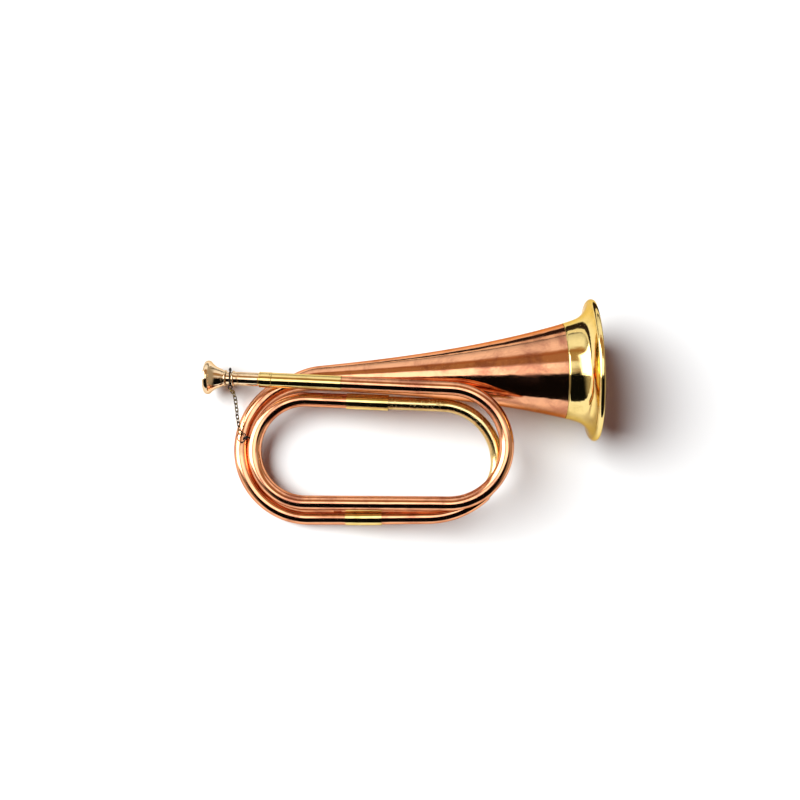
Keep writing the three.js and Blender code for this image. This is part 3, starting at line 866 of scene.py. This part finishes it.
# In the metal's reflections only, the table ends a hand's breadth above the bugle: past it the floor
# shows a band of painted shade, then a painted glow of lit walls.
TABLE_EDGE, PAINTED_WALL_FOOT = (0.17, 0.19), (0.40, 0.46)
PAINTED_GAP_SHADE, PAINTED_WALL_GLOW = rgba(0.03, 0.02, 0.02), rgba(1.0, 0.95, 0.86)


def floor_paint():
    """Pale paint, but for glossy rays past the table's edge painted shade and then a painted glow of lit
    walls, along the floor's Y.
    """
    paint = bpy.data.materials.new("pale_floor")
    n = Nodes(paint)
    across = n.new("ShaderNodeSeparateXYZ")
    n.link(n.new("ShaderNodeTexCoord").outputs["Object"], across.inputs[0])
    north = across.outputs["Y"]
    glossy = n.new("ShaderNodeLightPath").outputs["Is Glossy Ray"]
    painted_reflection_share = n.math("MULTIPLY", n.smooth(north, *TABLE_EDGE), glossy)
    # Both are emission seen only in reflections: a near-black painted shade, then a painted glow of
    # light.
    painted_shade_band, painted_light_band = n.shader("ShaderNodeEmission", PAINTED_GAP_SHADE), n.shader("ShaderNodeEmission", PAINTED_WALL_GLOW)
    beyond = n.blend(n.smooth(north, *PAINTED_WALL_FOOT), painted_shade_band, painted_light_band)
    surface = n.blend(painted_reflection_share, n.shader("ShaderNodeBsdfDiffuse", FLOOR_COLOR), beyond)
    n.link(surface.outputs[0], n.new("ShaderNodeOutputMaterial").inputs[0])
    return paint


h = FLOOR_HALF
floor_mesh = bpy.data.meshes.new("floor")
floor_mesh.from_pydata([(-h, -h, 0), (h, -h, 0), (h, h, 0), (-h, h, 0)], [], [(0, 1, 2, 3)])
floor_mesh.materials.append(floor_paint())
floor = bpy.data.objects.new("floor", floor_mesh)
scene.collection.objects.link(floor)


def grey(value):
    return rgba(value, value, value)


# What the metal mirrors, by the angle round the bell's axis: 0 is straight up and 90 is towards +Y.
AMBER = rgba(0.44, 0.28, 0.14)
DARK_SIDE = grey(0.004)
STUDIO = (
    (-180, grey(0.30)), (-88, grey(0.25)),
    (-84, DARK_SIDE), (-9, DARK_SIDE),
    (-5, rgba(0.44, 0.33, 0.26)), (4, rgba(0.5, 0.4, 0.33)),
    (11, grey(0.95)), (17, grey(0.95)),
    (24, AMBER), (43, AMBER), (47, rgba(0.36, 0.16, 0.06)), (52, rgba(0.5, 0.3, 0.16)),
    (59, grey(1.1)), (75, grey(1.1)), (92, grey(0.75)),
    (98, grey(0.04)), (126, grey(0.04)), (180, grey(0.3)),
)
# Beyond both ends of the room, where a direction leans this far along X, is one dim colour.
END_WALLS, END_COLOR = (0.55, 0.85), rgba(0.42, 0.37, 0.29)
# The lamp overhead: soft edges in degrees across the bell's axis, and the reach along it.
LAMP_ACROSS, LAMP_ALONG, LAMP_COLOR = ((-11, -6), (15, 22)), (14, 26), grey(2.2)
# The window at the mouthpiece's end: degrees of lean towards -X, and of turn towards +Y.
WINDOW_LEAN, WINDOW_TURN = ((28, 35), (92, 98)), ((-11, -5), (27, 34))
DAYLIGHT_LEAN, DAYLIGHT = (28, 50), (3.0, 6.0)
WORLD_FILL = rgba(0.12, 0.055, 0.055)
SKY = rgba(1.0, 1.0, 1.0)


def room_reflected(n):
    """Colour of the studio in the direction of a reflected ray."""
    direction = n.new("ShaderNodeTexCoord").outputs["Generated"]
    dx, dy, dz = (n.dot(direction, tuple(ROTATION @ axis)) for axis in (X, Y, Z))
    around_x = n.math("MULTIPLY", n.math("ARCTAN2", dy, dz), 180 / math.pi)
    share = n.math("MULTIPLY_ADD", around_x, 1 / 360, 0.5)
    leaning = n.math("MULTIPLY", n.math("ARCTAN2", n.math("MULTIPLY", dx, -1.0), dz), 180 / math.pi)
    northing = n.math("MULTIPLY", n.math("ARCSINE", dy), 180 / math.pi)
    room = n.ramp(share, [((angle + 180) / 360, color) for angle, color in STUDIO])
    room = n.mix(n.smooth(n.math("ABSOLUTE", dx), *END_WALLS), room, END_COLOR)
    near = n.smooth(n.math("ABSOLUTE", leaning), *LAMP_ALONG, 1.0, 0.0)
    room = n.mix(n.math("MULTIPLY", n.band(around_x, *LAMP_ACROSS), near), room, LAMP_COLOR)
    pane = n.new("ShaderNodeCombineColor")
    daylight = n.smooth(leaning, *DAYLIGHT_LEAN, *DAYLIGHT)
    for socket in pane.inputs:
        n.link(daylight, socket)
    window = n.math("MULTIPLY", n.band(leaning, *WINDOW_LEAN), n.band(northing, *WINDOW_TURN))
    return n.mix(window, room, pane.outputs[0])


# The world is a white sky for the camera, the studio for glossy rays, and an even fill for the rest.
world = bpy.data.worlds.new("studio")
scene.world = world
world.cycles.sampling_method = "NONE"
n = Nodes(world)
rays = n.new("ShaderNodeLightPath").outputs
fill, sky = n.shader("ShaderNodeBackground", WORLD_FILL), n.shader("ShaderNodeBackground", SKY)
lit = n.blend(rays["Is Glossy Ray"], fill, n.shader("ShaderNodeBackground", room_reflected(n)))
seen = n.blend(rays["Is Camera Ray"], lit, sky)
n.link(seen.outputs[0], n.new("ShaderNodeOutputWorld").inputs[0])

# The key light: broad and soft, from up and to the left, the same strength all over the floor.
KEY_AZIMUTH, KEY_ELEVATION, KEY_SPREAD, KEY_STRENGTH = 24.0, 53.0, 42.0, 5.5
KEY_COLOR = (0.95, 1.0, 1.0)
azimuth, elevation = math.radians(KEY_AZIMUTH), math.radians(KEY_ELEVATION)
level = math.cos(elevation)
toward = REST @ Vector((-math.cos(azimuth) * level, math.sin(azimuth) * level, math.sin(elevation)))
key_data = bpy.data.lights.new("key", "SUN")
key_data.angle = math.radians(KEY_SPREAD)
key_data.energy = KEY_STRENGTH
key_data.color = KEY_COLOR
key = bpy.data.objects.new("key", key_data)
scene.collection.objects.link(key)
key.rotation_euler = toward.to_track_quat("Z", "Y").to_euler()
key.visible_glossy = False
